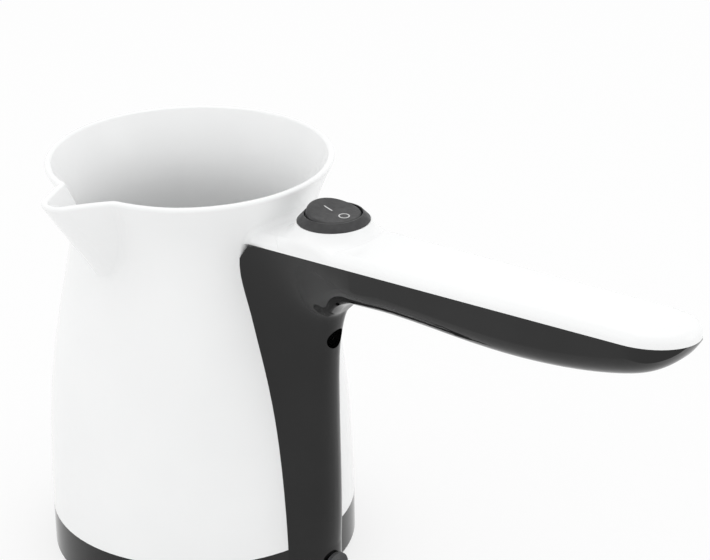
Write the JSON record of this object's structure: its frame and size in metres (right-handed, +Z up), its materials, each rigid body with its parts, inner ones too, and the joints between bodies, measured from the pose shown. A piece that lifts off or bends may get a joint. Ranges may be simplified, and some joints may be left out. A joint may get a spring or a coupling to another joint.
{
  "type": "electric turkish coffee maker",
  "caption": "Electric Turkish coffee maker: white jug with spout, long black-and-white grip with round rocker switch, black spine and base.",
  "frame": {"origin": "centre of the underside of the round pad the maker stands on, which is also the jug's axis", "axes": "+Z up, +X from the jug's axis along the grip towards its free end, the spout points along -Y"},
  "size_m": [0.249, 0.1133, 0.1413],
  "materials": {
    "white_plastic": "gloss",
    "black_plastic": "gloss",
    "switch_plastic": "satin",
    "steel": "satin",
    "aluminium": "matte",
    "brass": "satin",
    "silicone": "matte",
    "block_plastic": "matte",
    "live_insulation": "satin",
    "neutral_insulation": "satin",
    "earth_insulation": "satin"
  },
  "bodies": {
    "body": {"pot_body": "white_plastic", "handle_shell": "black_plastic", "base_ring": "black_plastic", "base_cover": "black_plastic", "base_pad": "silicone", "base_screws": "steel", "clamp_screws": "steel", "spine_screw": "steel", "heating_plate": "steel", "plate_seal": "silicone", "heat_spreader": "aluminium", "heating_element": "steel", "element_pins": "steel", "clamp_ring": "steel", "thermostat": "aluminium", "thermostat_tabs": "brass", "thermostat_bracket": "steel", "thermal_fuse": "aluminium", "heat_shield": "steel", "terminal_block": "block_plastic", "terminal_screws": "brass", "cord_gland": "silicone", "switch_housing": "switch_plastic", "centre_terminal": "brass", "load_terminal": "brass", "live_wire": "live_insulation", "switched_wire": "live_insulation", "neutral_wire": "neutral_insulation", "link_wire": "neutral_insulation", "earth_wire": "earth_insulation"},
    "rocker": {"rocker": "switch_plastic", "switch_plunger": "brass", "switch_spring": "steel"},
    "lever": {"contact_lever": "brass"}
  },
  "joints": [
    {"name": "rocker_tilt", "type": "hinge", "parent": "body", "child": "rocker", "pos_m": [0.06248, 0, 0.1347], "axis": [0, -1, 0], "range_deg": [0, 18]},
    {"name": "lever_tilt", "type": "hinge", "parent": "body", "child": "lever", "pos_m": [0.0625, 0, 0.1219], "axis": [0, -1, 0], "range_deg": [-9, 0]}
  ],
  "couplings": [
    {"joint": "lever_tilt", "follows": "rocker_tilt", "ratio": -0.5}
  ]
}
